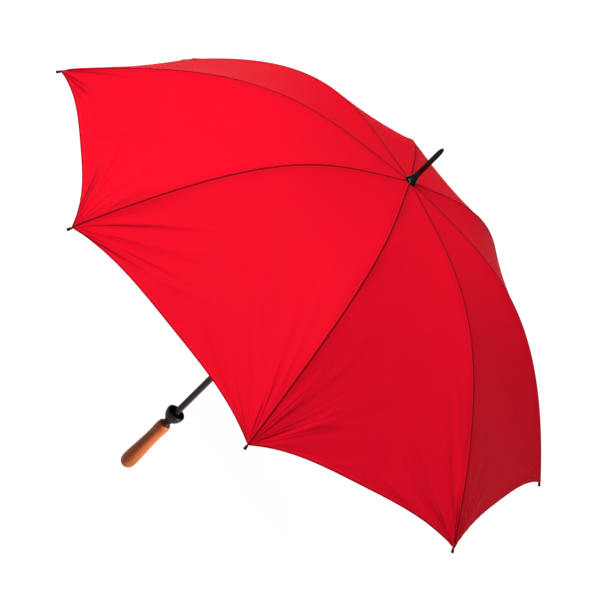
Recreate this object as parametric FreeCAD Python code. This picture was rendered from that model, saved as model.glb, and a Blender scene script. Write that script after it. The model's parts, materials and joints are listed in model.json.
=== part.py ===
"""Stick umbrella, open: eight-panel canopy on a fibreglass-tipped frame, turned wooden handle.

Millimetres, +Z up the shaft, origin at the middle of the handle's bottom end. The umbrella is
modelled open. The frame folds when the runner slides down the shaft: each inner rib swings
down about the wire in the crown notch, the outer rib springs straight, and the rib tips come
to rest in the cup above the handle.
"""
import FreeCAD
import Part
import math
import os
from FreeCAD import Vector

# ---------------------------------------------------------------- canopy and ribs
rib_count = 8
open_radius = 650.0          # shaft axis to the canopy's corner at each rib tip
canopy_rise = 312.8          # canopy's top above its corners
fabric_thickness = 0.5
seam_gap = 0.3               # between two panels, over the rib
scallop_depth = 28.0         # how far the hem rises, along the panel, between two ribs
scallop_power = 3.4          # how square the scallop is
sag_middle = 6.0             # how far a panel pulls in between its ribs, half way out
sag_hem = 3.0                # and at the hem
rib_diameter = 3.2
rib_gap = 0.4                # rib to the underside of the fabric
tip_cap_wall = 1.6
tip_cap_reach = 9.0          # cap beyond the canopy's corner
tip_cap_gap = 0.4
tip_cap_socket = 5.6         # how deep the rib sits in its cap
shaft_diameter = 14.0
shaft_wall = 0.6
fit_clearance = 0.05

# ---------------------------------------------------------------- crown
crown_hole_margin = 2.75     # shaft to where the panels start
pivot_drop = 10.0            # rib pivots below the canopy's top
pivot_standoff = 4.0         # shaft to the crown wire
wire_diameter = 1.2
eye_diameter = 4.6           # rib's inner eye
eye_thickness = 2.4
notch_rim = 2.5              # notch beyond the crown wire
notch_depth = 5.5            # below the pivots
notch_slot_clearance = 0.6   # to the thicker of the eye and the rib
notch_core_wall = 1.3        # shaft to the slots' roots
notch_cap_flange = 5.5       # shaft to the edge of the notch's cap
notch_cap_gap = 0.45         # to the underside of the fabric
rib_blend_length = 60.0      # over which a rib rises from its pivot to the fabric

# ---------------------------------------------------------------- frame joints
joint_distance = 325.0       # crown to stretcher joint, along the rib
flex_gap = 9.5               # from there to the joint where the outer rib springs straight
ear_clearance = 4.6          # rib's underside to the stretcher pivot
clip_length = 13.0
clip_sheet = 0.8
clip_rise = 0.6              # clip's edges above the rib's axis
rivet_diameter = 1.8
stretcher_length = 362.0     # pivot to pivot
stretcher_height = 3.4
stretcher_width = 2.4
stretcher_sheet = 0.55       # wall of the folded channel
stretcher_solid_end = 14.0   # channel starts this far from each pivot
stretcher_eye = 3.9

# ---------------------------------------------------------------- runner and closed frame
runner_pivot_standoff = 6.0    # shaft to the stretchers' pivots
runner_bore_clearance = 0.3
runner_wall = 3.0              # shaft to the outside of the sleeve
runner_rim = 3.0               # flange beyond the pivots
runner_flange_height = 8.0
runner_length = 45.0
runner_slot_clearance = 1.3
closed_joint_margin = 3.5      # stretcher joints beyond the runner's pivots when closed
closed_tip_standoff = 4.6      # shaft to the rib tips' axes when closed
tip_seat = 7.0                 # how deep the tips go into the cup

# ---------------------------------------------------------------- handle, cup and ends
handle_length = 148.0
handle_bottom_radius = 17.4
handle_belly_radius = 15.4
handle_waist_radius = 14.2
handle_shoulder_radius = 15.4
handle_top_radius = 13.2
handle_bore_floor = 24.0       # bottom of the bore that holds the shaft
cup_neck_length = 12.0
cup_neck_wall = 2.0
cup_height = 28.0
cup_spread = 14.4              # shaft to the cup's widest place
cup_wall = 2.6
cup_floor_thickness = 6.0
ferrule_length = 93.5
ferrule_flare = 6.0            # shaft to the edge of the flared foot
ferrule_root_radius = 5.3
ferrule_tip_radius = 5.5
ferrule_nose = 14.0            # rounded nose
ferrule_land = 26.0            # straight stretch below the nose
ferrule_flare_height = 24.0
ferrule_spigot_length = 34.0
washer_thickness = 1.0
washer_gap = 0.35              # washer to fabric
pin_diameter = 2.0
stop_pin_ends = 2.25           # how far the stop pin sticks out on each side
catch_thickness = 2.4
catch_standoff = 3.0           # shaft to the catch's shoulder
catch_length = 28.0
catch_shoulder = 4.0
catch_root_radius = 3.0
catch_gap = 0.4                # shoulder to runner

# ---------------------------------------------------------------- sizes that follow
shaft_radius = shaft_diameter / 2
rib_radius = rib_diameter / 2
half_sector = math.pi / rib_count
rib_depth = fabric_thickness + rib_gap + rib_radius
tip_cap_radius = rib_radius + tip_cap_wall
crown_hole_radius = shaft_radius + crown_hole_margin
pivot_radius = shaft_radius + pivot_standoff
notch_radius = pivot_radius + notch_rim
notch_slot = max(eye_thickness, rib_diameter) + notch_slot_clearance
slot_root_radius = shaft_radius + notch_core_wall
notch_cap_radius = shaft_radius + notch_cap_flange
flex_distance = joint_distance + flex_gap
ear_drop = rib_radius + ear_clearance
runner_pivot_radius = shaft_radius + runner_pivot_standoff
runner_sleeve_radius = shaft_radius + runner_wall
runner_flange_radius = runner_pivot_radius + runner_rim
runner_slot = stretcher_width + runner_slot_clearance
closed_joint_radius = runner_pivot_radius + closed_joint_margin
closed_tip_radius = shaft_radius + closed_tip_standoff
cup_neck_radius = shaft_radius + cup_neck_wall
cup_rim_radius = shaft_radius + cup_spread
ferrule_flare_radius = shaft_radius + ferrule_flare
stop_pin_length = shaft_diameter + 2 * stop_pin_ends
catch_reach = shaft_radius + catch_standoff


# ================================================================ rib line
def bezier(share):
    """Seam line over a rib, as (radius, height below the canopy's top)."""
    corners = [
        (crown_hole_radius, -0.0087 * canopy_rise),
        (0.3602 * open_radius, -0.0607 * canopy_rise),
        (0.5615 * open_radius, 0.0085 * canopy_rise),
        (open_radius, -canopy_rise),
    ]
    weights = [
        (1 - share) ** 3,
        3 * share * (1 - share) ** 2,
        3 * share ** 2 * (1 - share),
        share ** 3,
    ]
    radius = sum(w * c[0] for w, c in zip(weights, corners))
    height = sum(w * c[1] for w, c in zip(weights, corners))
    return radius, height


def measure_line(steps=2000):
    """Distances along the seam line at even steps of its parameter."""
    distances = [0.0]
    before = bezier(0.0)
    for step in range(1, steps + 1):
        here = bezier(step / steps)
        distances.append(distances[-1] + math.dist(before, here))
        before = here
    return distances


LINE = measure_line()
line_length = LINE[-1]


def share_at(distance):
    """Bezier parameter at a distance along the seam line."""
    low, high = 0, len(LINE) - 1
    while high - low > 1:
        middle = (low + high) // 2
        if LINE[middle] <= distance:
            low = middle
        else:
            high = middle
    part = (distance - LINE[low]) / (LINE[high] - LINE[low])
    return (low + part) / (len(LINE) - 1)


def line_at(distance):
    """Point, unit tangent and outward normal of the seam line; straight beyond its end."""
    inside = min(max(distance, 0.0), line_length)
    share = share_at(inside)
    step = 1e-4
    start = bezier(max(share - step, 0.0))
    end = bezier(min(share + step, 1.0))
    length = math.dist(start, end)
    tangent = ((end[0] - start[0]) / length, (end[1] - start[1]) / length)
    normal = (-tangent[1], tangent[0])
    radius, height = bezier(share)
    extra = distance - inside
    return (radius + extra * tangent[0], height + extra * tangent[1]), tangent, normal


def rib_axis(distance):
    """Rib's centre line: under the fabric, and down to its pivot near the crown."""
    (radius, height), tangent, normal = line_at(distance)
    base = (radius - rib_depth * normal[0], height - rib_depth * normal[1])
    if distance >= rib_blend_length:
        return base
    (radius0, height0), tangent0, normal0 = line_at(0.0)
    start = (radius0 - rib_depth * normal0[0], height0 - rib_depth * normal0[1])
    weight = (1 - distance / rib_blend_length) ** 3
    return (
        base[0] + weight * (pivot_radius - start[0]),
        base[1] + weight * (-pivot_drop - start[1]),
    )


def rib_direction(distance):
    """Unit tangent of the rib's centre line."""
    step = 0.05
    start = rib_axis(max(distance - step, 0.0))
    end = rib_axis(distance + step)
    length = math.dist(start, end)
    return (end[0] - start[0]) / length, (end[1] - start[1]) / length


# ================================================================ closed frame
def turned(point, centre, angle):
    """A point of the rib's plane, turned down by angle about centre."""
    x = point[0] - centre[0]
    z = point[1] - centre[1]
    return (
        centre[0] + x * math.cos(angle) + z * math.sin(angle),
        centre[1] - x * math.sin(angle) + z * math.cos(angle),
    )


def angle_to_radius(point, centre, radius):
    """How far a point turns down about centre until it hangs at a radius."""
    reach = math.dist(point, centre)
    now = math.atan2(point[1] - centre[1], point[0] - centre[0])
    return now + math.acos((radius - centre[0]) / reach)


pivot = (pivot_radius, -pivot_drop)
clip_direction = rib_direction(joint_distance)
clip_point = rib_axis(joint_distance)
joint = (
    clip_point[0] + ear_drop * clip_direction[1],
    clip_point[1] - ear_drop * clip_direction[0],
)
flex = rib_axis(flex_distance)
tip = rib_axis(line_length + tip_cap_reach)

fold_angle = angle_to_radius(joint, pivot, closed_joint_radius)
closed_joint = turned(joint, pivot, fold_angle)
closed_flex = turned(flex, pivot, fold_angle)
flex_angle = angle_to_radius(turned(tip, pivot, fold_angle), closed_flex, closed_tip_radius)
closed_tip = turned(turned(tip, pivot, fold_angle), closed_flex, flex_angle)


def runner_height(joint_point):
    """Height of the runner's pivots for a place of the stretcher joint."""
    across = joint_point[0] - runner_pivot_radius
    return joint_point[1] - math.sqrt(stretcher_length ** 2 - across ** 2)


runner_open = runner_height(joint)
runner_closed = runner_height(closed_joint)
runner_travel = runner_open - runner_closed
stretcher_open_angle = math.atan2(joint[0] - runner_pivot_radius, joint[1] - runner_open)
stretcher_closed_angle = math.asin((closed_joint_radius - runner_pivot_radius) / stretcher_length)
stretcher_angle = stretcher_open_angle - stretcher_closed_angle

# heights above the handle's bottom: the closed tips seat in the cup, which sets the crown
cup_rim_height = handle_length + cup_neck_length + cup_height
apex_height = cup_rim_height - tip_seat - closed_tip[1]
pivot_height = apex_height - pivot_drop
runner_open_height = apex_height + runner_open
runner_closed_height = apex_height + runner_closed
fabric_top = apex_height + bezier(0.0)[1]
washer_bottom = fabric_top + washer_gap
ferrule_bottom = washer_bottom + washer_thickness
ferrule_top = apex_height + ferrule_length
shaft_top = ferrule_bottom + 4.0
top_catch_height = runner_open_height + runner_flange_height / 2 - runner_length - catch_gap
bottom_catch_height = runner_closed_height + runner_flange_height / 2 + catch_gap
stop_pin_height = runner_open_height + runner_flange_height / 2 + pin_diameter / 2 + 0.2
notch_pin_height = pivot_height - notch_depth + pin_diameter
ferrule_pin_height = ferrule_bottom + 1.8
pin_azimuth = 33.75
catch_azimuth = 180.0 + 180.0 / rib_count


# ================================================================ building helpers
def in_plane(point):
    """A point of the rib's plane, placed in space over the X axis."""
    return Vector(point[0], 0, point[1] + apex_height)


def arc_between(start, corner, end):
    """Arc that leaves start towards corner and arrives at end from corner."""
    middle = (start + end) * 0.5
    half_chord = (end - start).Length / 2
    rise = (corner - middle).Length
    if rise < 1e-6:
        return Part.makeLine(start, end)
    half_turn = math.atan2(rise, half_chord)
    sagitta = half_chord * math.tan(half_turn / 2)
    top = middle + (corner - middle) * (sagitta / rise)
    return Part.Arc(start, top, end).toShape()


def biarc(start, start_way, end, end_way):
    """Two arcs that meet smoothly and keep both end directions."""
    across = end - start
    ways = start_way + end_way
    square = 2 * (1 - start_way.dot(end_way))
    if square < 1e-9:
        return [Part.makeLine(start, end)]
    root = math.sqrt(across.dot(ways) ** 2 + square * across.dot(across))
    reach = (root - across.dot(ways)) / square
    corner_a = start + start_way * reach
    corner_b = end - end_way * reach
    meet = (corner_a + corner_b) * 0.5
    return [arc_between(start, corner_a, meet), arc_between(meet, corner_b, end)]


def spread(start, end, spans):
    """Even distances from start to end."""
    return [start + (end - start) * span / spans for span in range(spans + 1)]


def rib_rod(stations):
    """Round rod along the rib's centre line, with two arcs between each pair of distances."""
    edges = []
    for near, far in zip(stations, stations[1:]):
        near_way = rib_direction(near)
        far_way = rib_direction(far)
        edges += biarc(
            in_plane(rib_axis(near)),
            Vector(near_way[0], 0, near_way[1]),
            in_plane(rib_axis(far)),
            Vector(far_way[0], 0, far_way[1]),
        )
    path = Part.Wire(edges)
    way = rib_direction(stations[0])
    circle = Part.makeCircle(rib_radius, in_plane(rib_axis(stations[0])), Vector(way[0], 0, way[1]))
    return path.makePipe(Part.Face(Part.Wire(circle)))


def cross_cylinder(point, radius, length):
    """Cylinder across the rib's plane, centred on it."""
    return Part.makeCylinder(radius, length, point - Vector(0, length / 2, 0), Vector(0, 1, 0))


def prism(outline, thickness):
    """Flat plate in the rib's plane, centred on it, from its corners."""
    corners = [Vector(x, -thickness / 2, z) for x, z in outline]
    face = Part.Face(Part.makePolygon(corners + corners[:1]))
    return face.extrude(Vector(0, thickness, 0))


def turned_solid(outline):
    """Solid of revolution about the shaft from a closed outline of edges."""
    return Part.Face(Part.Wire(outline)).revolve(Vector(), Vector(0, 0, 1), 360)


def polyline(points):
    """Edges between points given as (radius, height)."""
    corners = [Vector(x, 0, z) for x, z in points]
    return [Part.makeLine(a, b) for a, b in zip(corners, corners[1:])]


def smooth_curve(points):
    """Spline edge through points given as (radius, height)."""
    curve = Part.BSplineCurve()
    curve.interpolate([Vector(x, 0, z) for x, z in points])
    return curve.toShape()


def ring(outer, inner, bottom, top):
    """Plain tube about the shaft's axis."""
    body = Part.makeCylinder(outer, top - bottom, Vector(0, 0, bottom))
    bore = Part.makeCylinder(inner, top - bottom + 2, Vector(0, 0, bottom - 1))
    return body.cut(bore)


def about_axis(shape, degrees):
    """Copy of a shape, turned about the shaft."""
    copy = shape.copy()
    copy.rotate(Vector(), Vector(0, 0, 1), degrees)
    return copy


def radial_pin(height, length, azimuth, diameter=pin_diameter):
    """Pin through the shaft, centred on its axis."""
    pin = Part.makeCylinder(diameter / 2, length, Vector(-length / 2, 0, height), Vector(1, 0, 0))
    return about_axis(pin, azimuth)


# ================================================================ ribs and stretchers
def make_rib_inner():
    """Inner rib: eye on the crown wire, rod out to the flexing joint."""
    rise = spread(eye_diameter * 0.4, rib_blend_length, 2)
    under_fabric = spread(rib_blend_length, flex_distance - rib_radius - tip_cap_gap, 3)
    rod = rib_rod(rise + under_fabric[1:])
    eye = cross_cylinder(in_plane(pivot), eye_diameter / 2, eye_thickness)
    hole = cross_cylinder(in_plane(pivot), wire_diameter / 2 + 0.2, eye_thickness + 2)
    return rod.fuse(eye).cut(hole)


def make_rib_outer():
    """Outer rib: springy rod from a round knuckle to the inside of its tip cap."""
    rod = rib_rod(spread(flex_distance, line_length + tip_cap_gap + tip_cap_socket, 5))
    knuckle = cross_cylinder(in_plane(flex), rib_radius, 2 * rib_radius - 0.4)
    return rod.fuse(knuckle)


def make_rib_joint():
    """Folded clip under the rib with two ears, and the rivet that the stretcher turns on."""
    inner = rib_radius + fit_clearance
    outer = inner + clip_sheet
    drop = ear_drop + rivet_diameter / 2 + 1.4
    half = clip_length / 2
    ear = [(-half, clip_rise), (half, clip_rise), (half, -inner - clip_sheet)]
    ear += [(2.3, -drop), (-2.3, -drop), (-half, -inner - clip_sheet)]
    clip = prism(ear, 2 * outer)
    channel = prism([(-half - 1, -inner), (half + 1, -inner), (half + 1, 9), (-half - 1, 9)], 2 * inner)
    space = prism(
        [(-half - 1, -outer), (half + 1, -outer), (half + 1, -drop - 1), (-half - 1, -drop - 1)],
        2 * inner,
    )
    clip = clip.cut(channel).cut(space)
    rivet = cross_cylinder(Vector(0, 0, -ear_drop), rivet_diameter / 2, 2 * outer + 0.6)
    clip = clip.cut(rivet)
    pieces = Part.makeCompound([clip, rivet])
    slope = math.degrees(math.atan2(clip_direction[1], clip_direction[0]))
    pieces.rotate(Vector(), Vector(0, 1, 0), -slope)
    pieces.translate(in_plane(clip_point))
    return pieces


def make_tip_cap():
    """Blunt cap on the rib's tip, with the socket that the rib sits in."""
    start = rib_axis(line_length + tip_cap_gap)
    way = rib_direction(line_length + tip_cap_reach)
    axis = Vector(way[0], 0, way[1])
    length = tip_cap_reach - tip_cap_gap
    cap = Part.makeCylinder(tip_cap_radius, length, in_plane(start), axis)
    cap = cap.makeFillet(tip_cap_radius * 0.7, [max(cap.Edges, key=lambda e: e.CenterOfMass.x)])
    socket = Part.makeCylinder(
        rib_radius + fit_clearance,
        tip_cap_socket + fit_clearance + 1,
        in_plane(start) - axis,
        axis,
    )
    return cap.cut(socket)


def make_stretcher():
    """Folded channel from the rib's clip to the runner, open below, with an eye at each end."""
    top = in_plane(joint)
    bottom = Vector(runner_pivot_radius, 0, runner_open_height)
    half = stretcher_height / 2
    inset = stretcher_eye * 0.25
    bar = prism(
        [(-half, inset), (half, inset), (half, stretcher_length - inset), (-half, stretcher_length - inset)],
        stretcher_width,
    )
    trough = prism(
        [
            (-half + stretcher_sheet, stretcher_solid_end),
            (half + 1, stretcher_solid_end),
            (half + 1, stretcher_length - stretcher_solid_end),
            (-half + stretcher_sheet, stretcher_length - stretcher_solid_end),
        ],
        stretcher_width - 2 * stretcher_sheet,
    )
    bar = bar.cut(trough)
    bar.rotate(Vector(), Vector(0, 1, 0), math.degrees(stretcher_open_angle))
    bar.translate(bottom)
    for end in (top, bottom):
        bar = bar.fuse(cross_cylinder(end, stretcher_eye / 2, stretcher_width))
    for end in (top, bottom):
        bar = bar.cut(cross_cylinder(end, rivet_diameter / 2 + 0.15, stretcher_width + 2))
    return bar


# ================================================================ canopy
def panel_point(share, across, depth):
    """Point of a panel in the frame of its own middle line, depth below its outer face."""
    scallop = scallop_depth * (1 - abs(across) ** scallop_power)
    distance = share * (line_length - scallop)
    (radius, height), tangent, normal = line_at(distance)
    out = distance / line_length
    sag = (4 * sag_middle * out * (1 - out) + sag_hem * out ** 2) * (1 - across ** 2)
    x = radius * math.cos(half_sector) - sag * normal[0]
    y = across * (radius * math.sin(half_sector) - seam_gap / 2)
    z = height - sag * normal[1]
    azimuth = math.atan2(y, x)
    x -= depth * normal[0] * math.cos(azimuth)
    y -= depth * normal[0] * math.sin(azimuth)
    z -= depth * normal[1]
    return Vector(x, y, z + apex_height)


def panel_surface(depth, rows=13, columns=13):
    """Spline surface through a grid of a panel's points."""
    grid = []
    for row in range(rows):
        share = row / (rows - 1)
        across = [2 * column / (columns - 1) - 1 for column in range(columns)]
        grid.append([panel_point(share, place, depth) for place in across])
    surface = Part.BSplineSurface()
    surface.interpolate(grid)
    return surface


def make_panel():
    """One gore of the canopy, between two ribs, as a thin closed solid."""
    outer = panel_surface(0.0)
    inner = panel_surface(fabric_thickness)
    faces = [outer.toShape(), inner.toShape()]
    u0, u1, v0, v1 = outer.bounds()
    for value in (u0, u1):
        faces.append(Part.makeRuledSurface(outer.uIso(value).toShape(), inner.uIso(value).toShape()))
    for value in (v0, v1):
        faces.append(Part.makeRuledSurface(outer.vIso(value).toShape(), inner.vIso(value).toShape()))
    shell = Part.makeShell(faces)
    shell.sewShape()
    panel = Part.Solid(shell)
    if panel.Volume < 0:
        panel.reverse()
    return panel


# ================================================================ crown and runner
def make_crown_notch():
    """Slotted hub on the shaft that holds the crown wire, closed above by a plain cap."""
    bore = shaft_radius + fit_clearance
    slot_top = pivot_height + eye_diameter / 2 + 0.6
    cap_top = fabric_top - fabric_thickness - notch_cap_gap
    bottom = pivot_height - notch_depth
    hub = ring(notch_radius, bore, bottom, slot_top)
    slot = Part.makeBox(
        2 * notch_radius,
        notch_slot,
        slot_top - bottom + 1,
        Vector(slot_root_radius, -notch_slot / 2, bottom - 1),
    )
    for index in range(rib_count):
        hub = hub.cut(about_axis(slot, 360 * index / rib_count))
    groove = Part.makeTorus(pivot_radius, wire_diameter / 2 + fit_clearance, Vector(0, 0, pivot_height))
    hub = hub.cut(groove)
    hub = hub.fuse(ring(notch_cap_radius, bore, slot_top, cap_top))
    return hub.cut(radial_pin(notch_pin_height, 2 * notch_radius + 2, pin_azimuth))


def make_crown_wire():
    """Ring of wire through the eyes of all the ribs."""
    return Part.makeTorus(pivot_radius, wire_diameter / 2, Vector(0, 0, pivot_height))


def make_runner():
    """Sliding sleeve with a slotted flange for the stretchers' ends."""
    bore = shaft_radius + runner_bore_clearance
    top = runner_open_height + runner_flange_height / 2
    bottom = top - runner_length
    sleeve = ring(runner_sleeve_radius, bore, bottom, top)
    flange = ring(runner_flange_radius, bore, top - runner_flange_height, top)
    lip = ring(runner_sleeve_radius + 1.5, bore, bottom, bottom + 3)
    runner = sleeve.fuse(flange).fuse(lip)
    slot = Part.makeBox(
        2 * runner_flange_radius,
        runner_slot,
        runner_flange_height + 2,
        Vector(runner_sleeve_radius + 0.2, -runner_slot / 2, top - runner_flange_height - 1),
    )
    for index in range(rib_count):
        runner = runner.cut(about_axis(slot, 360 * index / rib_count))
    return runner


def catch_outline(shoulder, way):
    """Catch's outline from its shoulder, sloping away in the given way along the shaft."""
    return [
        (catch_root_radius, shoulder),
        (catch_reach, shoulder),
        (catch_reach, shoulder + way * catch_shoulder),
        (shaft_radius - shaft_wall - 1.0, shoulder + way * catch_length),
        (catch_root_radius, shoulder + way * catch_length),
    ]


def make_catch(shoulder, way):
    """Spring catch that sticks out through a slot in the shaft."""
    return about_axis(prism(catch_outline(shoulder, way), catch_thickness), catch_azimuth)


def catch_slot(shoulder, way):
    """Slot in the shaft that a catch works in."""
    low = min(shoulder - way * 0.4, shoulder + way * catch_length)
    high = max(shoulder - way * 0.4, shoulder + way * catch_length)
    width = catch_thickness + 0.6
    slot = Part.makeBox(catch_reach + 2, width, high - low, Vector(0, -width / 2, low))
    return about_axis(slot, catch_azimuth)


# ================================================================ shaft, handle and ends
def make_shaft():
    """Steel tube from the handle to the ferrule, slotted for the catches, drilled for the pins."""
    tube = ring(shaft_radius, shaft_radius - shaft_wall, handle_bore_floor, shaft_top)
    tube = tube.cut(catch_slot(top_catch_height, -1))
    tube = tube.cut(catch_slot(bottom_catch_height, 1))
    for height in (stop_pin_height, notch_pin_height, ferrule_pin_height):
        tube = tube.cut(radial_pin(height, 2 * shaft_diameter, pin_azimuth))
    return tube


def make_cross_pins():
    """Pins through the shaft: the runner's stop, the notch's pin and the ferrule's pin."""
    stop = radial_pin(stop_pin_height, stop_pin_length, pin_azimuth)
    notch = radial_pin(notch_pin_height, 2 * slot_root_radius, pin_azimuth)
    ferrule = radial_pin(ferrule_pin_height, 2 * ferrule_flare_radius - 0.6, pin_azimuth)
    return Part.makeCompound([stop, notch, ferrule])


def make_handle():
    """Turned wooden handle: ball end, belly, waist and shoulder, bored for the shaft."""
    half_way = handle_bottom_radius * math.sqrt(0.5)
    round_end = Part.Arc(
        Vector(0, 0, 0),
        Vector(half_way, 0, handle_bottom_radius - half_way),
        Vector(handle_bottom_radius, 0, handle_bottom_radius),
    ).toShape()
    side = smooth_curve([
        (handle_bottom_radius, handle_bottom_radius),
        (handle_bottom_radius, 0.21 * handle_length),
        (handle_belly_radius, 0.47 * handle_length),
        (handle_waist_radius, 0.74 * handle_length),
        (handle_shoulder_radius, 0.90 * handle_length),
        (handle_top_radius, handle_length),
    ])
    bore = shaft_radius + fit_clearance
    rest = polyline([
        (handle_top_radius, handle_length),
        (bore, handle_length),
        (bore, handle_bore_floor),
        (0, handle_bore_floor),
        (0, 0),
    ])
    return turned_solid([round_end, side] + rest)


def make_tip_cup():
    """Cup above the handle that the closed rib tips rest in."""
    bottom = handle_length
    shoulder = bottom + cup_neck_length
    rim = cup_rim_height
    bore = shaft_radius + fit_clearance
    inside = cup_rim_radius - cup_wall
    outside = smooth_curve([
        (cup_neck_radius, shoulder),
        (cup_neck_radius + 4.6, shoulder + 4.6),
        (cup_rim_radius - 2.2, shoulder + 0.46 * cup_height),
        (cup_rim_radius, shoulder + 0.76 * cup_height),
        (cup_rim_radius - 1.1, rim - 1.0),
    ])
    mouth = polyline([
        (cup_rim_radius - 1.1, rim - 1.0),
        (cup_rim_radius - 2.0, rim),
        (inside - 0.6, rim),
        (inside - 0.4, rim - 8.0),
        (inside - 3.4, rim - 16.0),
        (closed_tip_radius, shoulder + cup_floor_thickness),
        (bore, shoulder + cup_floor_thickness),
        (bore, bottom),
        (cup_neck_radius, bottom),
        (cup_neck_radius, shoulder),
    ])
    return turned_solid([outside] + mouth)


def make_ferrule():
    """Spike over the crown, flared at its foot, with a spigot down inside the shaft."""
    socket = shaft_radius + fit_clearance
    spigot = shaft_radius - shaft_wall - fit_clearance
    flare_top = ferrule_bottom + ferrule_flare_height
    flare = smooth_curve([
        (ferrule_flare_radius, ferrule_bottom + 2.2),
        (ferrule_flare_radius - 2.2, ferrule_bottom + 5.0),
        (ferrule_root_radius + 2.9, ferrule_bottom + 10.5),
        (ferrule_root_radius + 1.0, ferrule_bottom + 17.5),
        (ferrule_root_radius, flare_top),
    ])
    nose = Part.Ellipse(
        Vector(0, 0, ferrule_top),
        Vector(ferrule_tip_radius, 0, ferrule_top - ferrule_nose),
        Vector(0, 0, ferrule_top - ferrule_nose),
    )
    point = Part.ArcOfEllipse(nose, 0, math.pi / 2).toShape()
    foot = polyline([
        (0, ferrule_top),
        (0, ferrule_bottom - ferrule_spigot_length),
        (spigot, ferrule_bottom - ferrule_spigot_length),
        (spigot, shaft_top + fit_clearance),
        (socket, shaft_top + fit_clearance),
        (socket, ferrule_bottom),
        (ferrule_flare_radius, ferrule_bottom),
        (ferrule_flare_radius, ferrule_bottom + 2.2),
    ])
    side = polyline([
        (ferrule_root_radius, flare_top),
        (ferrule_tip_radius, ferrule_top - ferrule_nose - ferrule_land),
        (ferrule_tip_radius, ferrule_top - ferrule_nose),
    ])
    ferrule = turned_solid([flare] + side + [point] + foot)
    for height in (notch_pin_height, ferrule_pin_height):
        ferrule = ferrule.cut(radial_pin(height, 3 * shaft_diameter, pin_azimuth))
    return ferrule


def make_washer():
    """Washer that clamps the middle of the canopy under the ferrule."""
    inner = shaft_radius + fit_clearance
    return ring(notch_cap_radius, inner, washer_bottom, ferrule_bottom)


# ================================================================ export
def export(name, shape):
    """Write one sub-part and say what it is."""
    shape.exportStep("parts/" + name + ".step")
    print(name, "valid", shape.isValid(), "solids", len(shape.Solids), "cm3", round(shape.Volume / 1000, 2))


os.makedirs("parts", exist_ok=True)
repeated = {
    "rib_inner": make_rib_inner(),
    "rib_outer": make_rib_outer(),
    "rib_joint": make_rib_joint(),
    "tip_cap": make_tip_cap(),
    "stretcher": make_stretcher(),
}
panel = make_panel()
for number in range(1, rib_count + 1):
    rib_azimuth = -360 * (number - 1) / rib_count
    for name, shape in repeated.items():
        export(f"{name}_{number}", about_axis(shape, rib_azimuth))
    export(f"canopy_panel_{number}", about_axis(panel, rib_azimuth - 180 / rib_count))
export("crown_notch", make_crown_notch())
export("crown_wire", make_crown_wire())
export("cover_washer", make_washer())
export("runner", make_runner())
export("top_catch", make_catch(top_catch_height, -1))
export("bottom_catch", make_catch(bottom_catch_height, 1))
export("shaft_tube", make_shaft())
export("cross_pins", make_cross_pins())
export("handle", make_handle())
export("tip_cup", make_tip_cup())
export("ferrule", make_ferrule())
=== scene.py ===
# %% [markdown]
# # An open stick umbrella
# The frame of this umbrella is a finished mechanical model: shaft, ribs, stretchers, runner and
# catches lie where they work. This lesson gives it its looks. The canopy is made first, because
# it is most of what anyone sees, then the turned and moulded pieces, then the finishes.

# %% Load the working frame
import bpy
import json
import math
import numpy as np
from mathutils import Matrix, Vector


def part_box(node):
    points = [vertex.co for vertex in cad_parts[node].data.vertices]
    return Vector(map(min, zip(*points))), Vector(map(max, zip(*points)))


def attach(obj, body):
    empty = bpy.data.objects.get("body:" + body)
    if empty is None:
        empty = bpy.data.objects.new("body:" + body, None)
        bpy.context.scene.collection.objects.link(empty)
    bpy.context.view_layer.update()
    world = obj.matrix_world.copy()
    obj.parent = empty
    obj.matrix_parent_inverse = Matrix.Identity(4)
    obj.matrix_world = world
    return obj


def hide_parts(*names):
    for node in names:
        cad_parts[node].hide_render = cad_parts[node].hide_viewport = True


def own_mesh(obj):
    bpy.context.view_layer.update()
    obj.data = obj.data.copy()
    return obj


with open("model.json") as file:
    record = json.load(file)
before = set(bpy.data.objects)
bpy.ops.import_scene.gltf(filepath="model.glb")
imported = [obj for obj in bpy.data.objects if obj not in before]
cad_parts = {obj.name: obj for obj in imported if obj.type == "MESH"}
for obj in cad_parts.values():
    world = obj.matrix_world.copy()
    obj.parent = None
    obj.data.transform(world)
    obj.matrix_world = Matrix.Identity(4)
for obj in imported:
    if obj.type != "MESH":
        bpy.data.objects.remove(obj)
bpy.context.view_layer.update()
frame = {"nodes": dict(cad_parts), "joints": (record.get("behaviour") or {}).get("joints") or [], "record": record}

# %% [markdown]
# The camera comes first. It stands about 3.7 metres from the canopy with a long lens, and is
# rolled, so that the shaft runs from the lower left to the upper right.

# %% Camera
LENS = 110.9
SENSOR_WIDTH = 36.0
CAMERA_PLACE = (2.819, 1.890, 2.195)
camera_data = bpy.data.cameras.new("camera")
camera_data.lens = LENS
camera_data.sensor_width = SENSOR_WIDTH
camera = bpy.data.objects.new("camera", camera_data)
bpy.context.collection.objects.link(camera)
camera_right = Vector((-0.6434, 0.4144, 0.6437)).normalized()
camera_back = Vector((0.752, 0.4998, 0.4299)).normalized()
camera_up = camera_back.cross(camera_right).normalized()
camera_right = camera_up.cross(camera_back)
turn = Matrix((camera_right, camera_up, camera_back)).transposed()
camera.matrix_world = Matrix.Translation(CAMERA_PLACE) @ turn.to_4x4()
bpy.context.scene.camera = camera
bpy.context.scene.view_settings.view_transform = "Standard"
print("camera at", [round(c, 3) for c in camera.matrix_world.translation])

# %% [markdown]
# The sizes that several pieces share are read from the frame: how far the canopy's corners are
# from the shaft, how high its middle stands above them, and where the ribs bend.

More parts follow.
